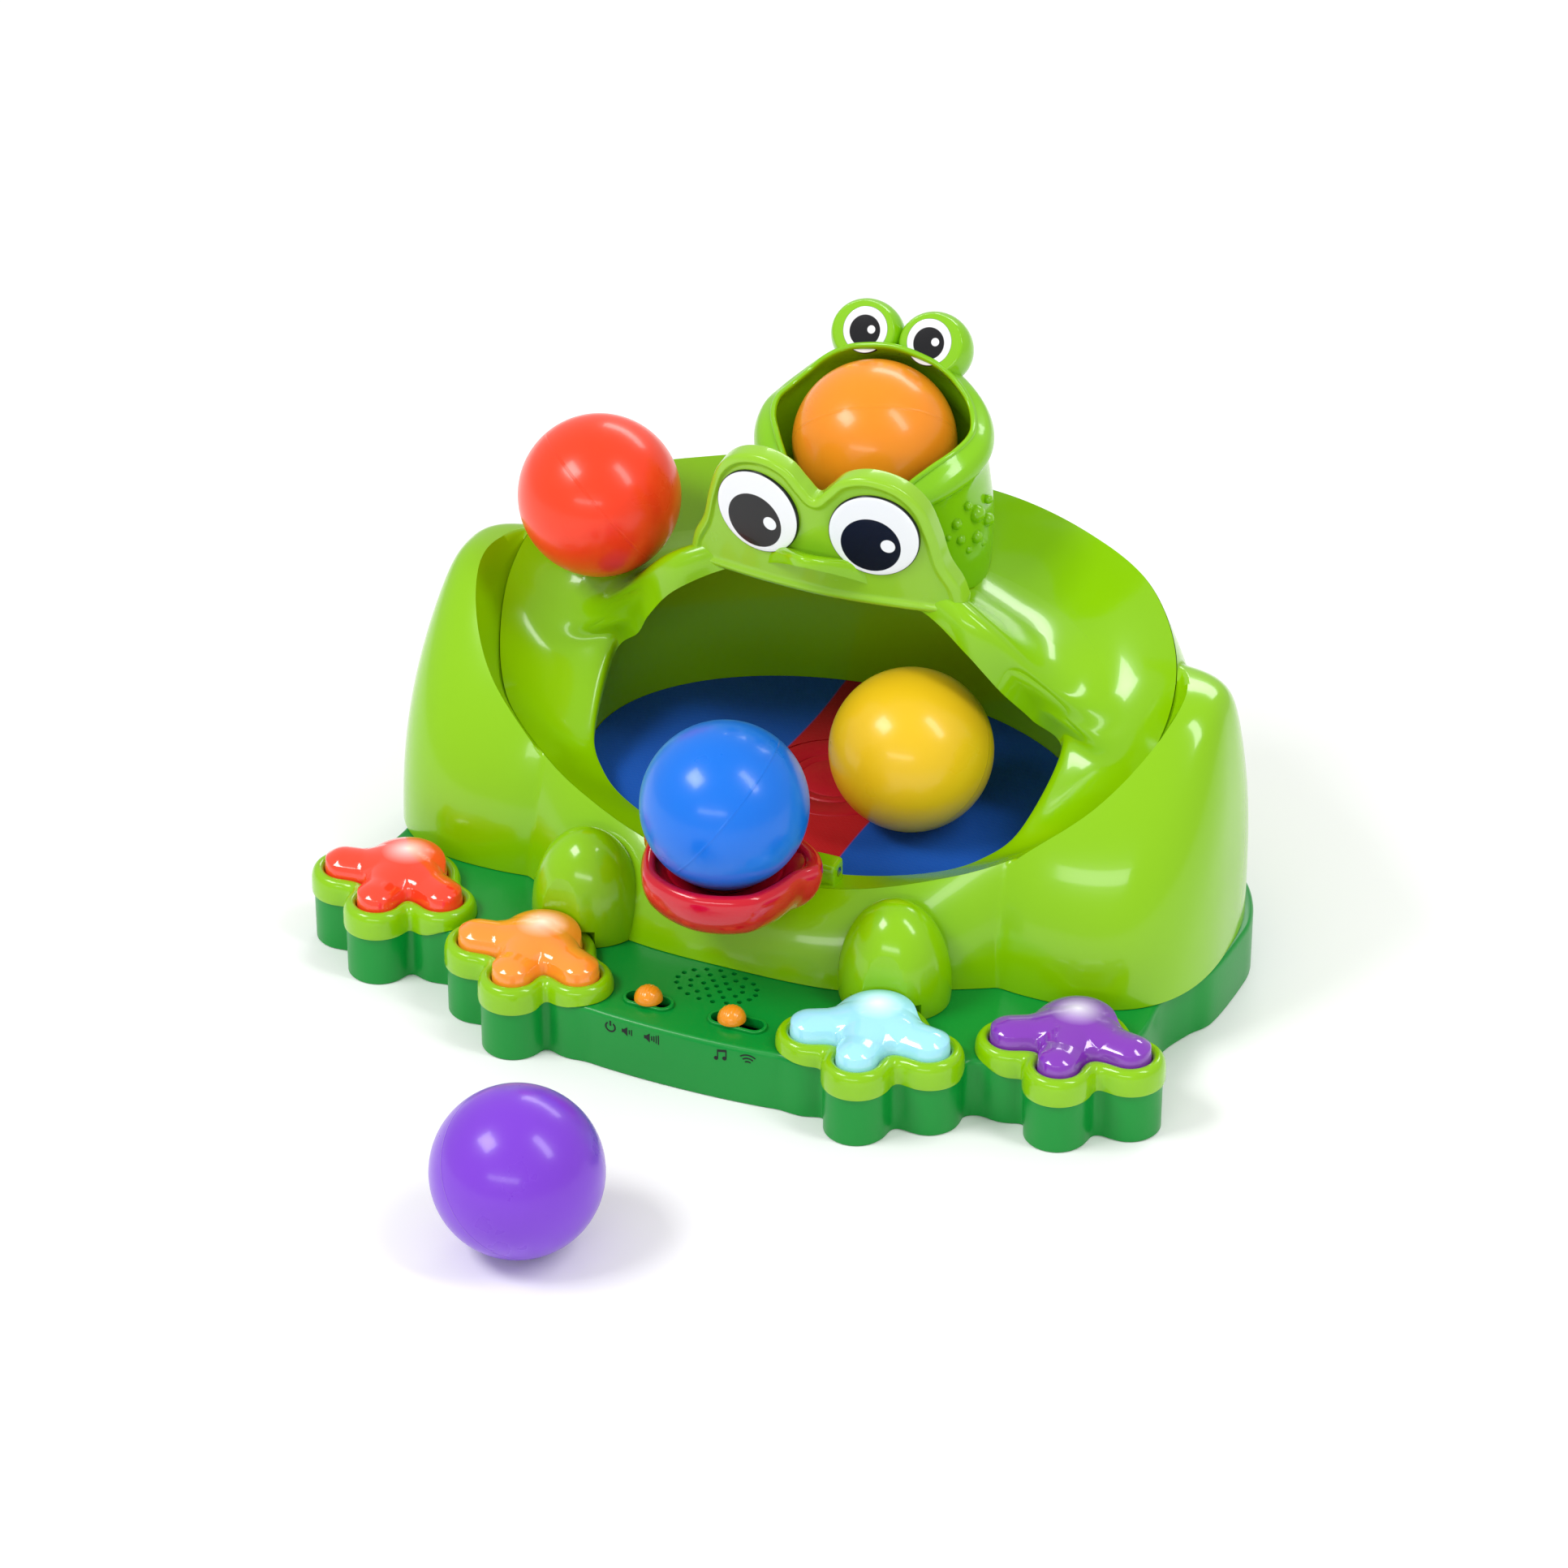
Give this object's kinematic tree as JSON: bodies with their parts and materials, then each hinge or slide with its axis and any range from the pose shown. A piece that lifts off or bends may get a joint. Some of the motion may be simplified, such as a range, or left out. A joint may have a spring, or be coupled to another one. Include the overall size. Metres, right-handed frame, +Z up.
{
  "type": "frog ball popper toy",
  "caption": "Frog-shaped toy that pops light balls up through a small frog on its back and rolls them down into its mouth, with light-up paw buttons and a sprung tongue.",
  "frame": {"origin": "middle of the flat underside, level with the floor", "axes": "+X to the toy's own left seen from behind it, the viewer's right; +Y to the back; +Z up"},
  "size_m": [0.3358, 0.3809, 0.2176],
  "materials": {
    "base_green": "satin moulded ABS",
    "base_green_matte": "fine matte underside",
    "steel": "plain steel",
    "cell_sleeve": "shrunk plastic sleeve",
    "lime_gloss": "polished moulded ABS",
    "deep_lime_gloss": "polished moulded ABS",
    "pale_lime_gloss": "satin moulded ABS",
    "grey_plastic": "plain matte",
    "white_plastic": "plain matte",
    "cloth_blue": "stretched knitted cloth, blue with a red band",
    "eye_white": "printed gloss",
    "knob_orange": "polished",
    "board_green": "solder mask",
    "tongue_red": "polished",
    "pad_red": "soft matte",
    "ball_red": "blow-moulded, semi-gloss",
    "ball_orange": "blow-moulded, semi-gloss",
    "ball_blue": "blow-moulded, semi-gloss",
    "ball_yellow": "blow-moulded, semi-gloss",
    "ball_purple": "blow-moulded, semi-gloss",
    "lens_red": "translucent gloss",
    "lens_orange": "translucent gloss",
    "lens_blue": "translucent gloss",
    "lens_purple": "translucent gloss",
    "lamp_white": "clear lamp lens"
  },
  "bodies": {
    "housing": {"base_housing": "base_green", "bottom_cover": "base_green_matte", "battery_1": "cell_sleeve", "battery_2": "cell_sleeve", "battery_3": "cell_sleeve", "battery_contact_left": "steel", "battery_contact_right": "steel", "housing_screw_1": "steel", "housing_screw_2": "steel", "housing_screw_3": "steel", "housing_screw_4": "steel", "outer_body": "lime_gloss", "ball_run": "lime_gloss", "mouth_wall": "lime_gloss", "cloth_hoop": "grey_plastic", "cloth_floor": "cloth_blue", "small_frog_head": "deep_lime_gloss", "small_eye_left": "eye_white", "small_eye_right": "eye_white", "eye_panel": "pale_lime_gloss", "big_eye_left": "eye_white", "big_eye_right": "eye_white", "speaker": "grey_plastic", "circuit_board": "board_green", "tongue_pin": "steel", "tongue_spring": "steel", "pad_ring": "pad_red", "kicker_frame": "grey_plastic", "kicker_gearbox": "grey_plastic", "kicker_motor": "steel", "paw_bezel_left_outer": "lime_gloss", "lamp_left_outer": "lamp_white", "paw_bezel_left_inner": "lime_gloss", "lamp_left_inner": "lamp_white", "paw_bezel_right_inner": "lime_gloss", "lamp_right_inner": "lamp_white", "paw_bezel_right_outer": "lime_gloss", "lamp_right_outer": "lamp_white"},
    "left_outer_paw": {"paw_button_left_outer": "lens_red"},
    "left_inner_paw": {"paw_button_left_inner": "lens_orange"},
    "right_inner_paw": {"paw_button_right_inner": "lens_blue"},
    "right_outer_paw": {"paw_button_right_outer": "lens_purple"},
    "volume_slide": {"volume_knob": "knob_orange"},
    "mode_slide": {"mode_knob": "knob_orange"},
    "tongue_lever": {"tongue": "tongue_red"},
    "pad": {"pop_pad": "pad_red"},
    "kick_arm": {"kicker_arm": "white_plastic"},
    "loose_red_ball": {"ball_red": "ball_red"},
    "loose_orange_ball": {"ball_orange": "ball_orange"},
    "loose_blue_ball": {"ball_blue": "ball_blue"},
    "loose_yellow_ball": {"ball_yellow": "ball_yellow"},
    "loose_purple_ball": {"ball_purple": "ball_purple"},
    "battery_lid": {"battery_door": "base_green_matte", "battery_door_screw": "steel"}
  },
  "joints": [
    {"name": "left_outer_press", "type": "slide", "parent": "housing", "child": "left_outer_paw", "axis": [0, 0, -1], "range_m": [0, 0.002], "stiffness_N_per_m": 400, "springref_m": -0.0005},
    {"name": "left_inner_press", "type": "slide", "parent": "housing", "child": "left_inner_paw", "axis": [0, 0, -1], "range_m": [0, 0.002], "stiffness_N_per_m": 400, "springref_m": -0.0005},
    {"name": "right_inner_press", "type": "slide", "parent": "housing", "child": "right_inner_paw", "axis": [0, 0, -1], "range_m": [0, 0.002], "stiffness_N_per_m": 400, "springref_m": -0.0005},
    {"name": "right_outer_press", "type": "slide", "parent": "housing", "child": "right_outer_paw", "axis": [0, 0, -1], "range_m": [0, 0.002], "stiffness_N_per_m": 400, "springref_m": -0.0005},
    {"name": "volume_switch", "type": "slide", "parent": "housing", "child": "volume_slide", "axis": [1, 0, 0], "range_m": [-0.004, 0.004]},
    {"name": "mode_switch", "type": "slide", "parent": "housing", "child": "mode_slide", "axis": [1, 0, 0], "range_m": [-0.002, 0.006]},
    {"name": "tongue_hinge", "type": "hinge", "parent": "housing", "child": "tongue_lever", "pos_m": [0, -0.04706, 0.05897], "axis": [1, 0, 0], "range_deg": [0, 10], "stiffness_Nm_per_rad": 0.2, "springref_deg": -28.65},
    {"name": "pad_lift", "type": "slide", "parent": "housing", "child": "pad", "axis": [0, 0, 1], "range_m": [0, 0.0098]},
    {"name": "arm_swing", "type": "hinge", "parent": "housing", "child": "kick_arm", "pos_m": [-0.045, 0.02496, 0.0286], "axis": [0, -1, 0], "range_deg": [0, 11]},
    {"name": "red_ball_lift", "type": "slide", "parent": "housing", "child": "loose_red_ball", "axis": [0, 0, 1], "range_m": [0, 0.04]},
    {"name": "orange_ball_lift", "type": "slide", "parent": "housing", "child": "loose_orange_ball", "axis": [0, -0.6112, 0.7915], "range_m": [0, 0.04]},
    {"name": "blue_ball_lift", "type": "slide", "parent": "tongue_lever", "child": "loose_blue_ball", "axis": [0, 0, 1], "range_m": [0, 0.04]},
    {"name": "yellow_ball_lift", "type": "slide", "parent": "housing", "child": "loose_yellow_ball", "axis": [0, 0, 1], "range_m": [0, 0.018]},
    {"name": "purple_ball_lift", "type": "slide", "parent": "housing", "child": "loose_purple_ball", "axis": [0, 0, 1], "range_m": [0, 0.06]},
    {"name": "battery_door_lift_off", "type": "slide", "parent": "housing", "child": "battery_lid", "axis": [0, 0, -1], "range_m": [0, 0.03]}
  ],
  "couplings": [
    {"joint": "arm_swing", "follows": "pad_lift", "rad_per_m": 19.2}
  ]
}
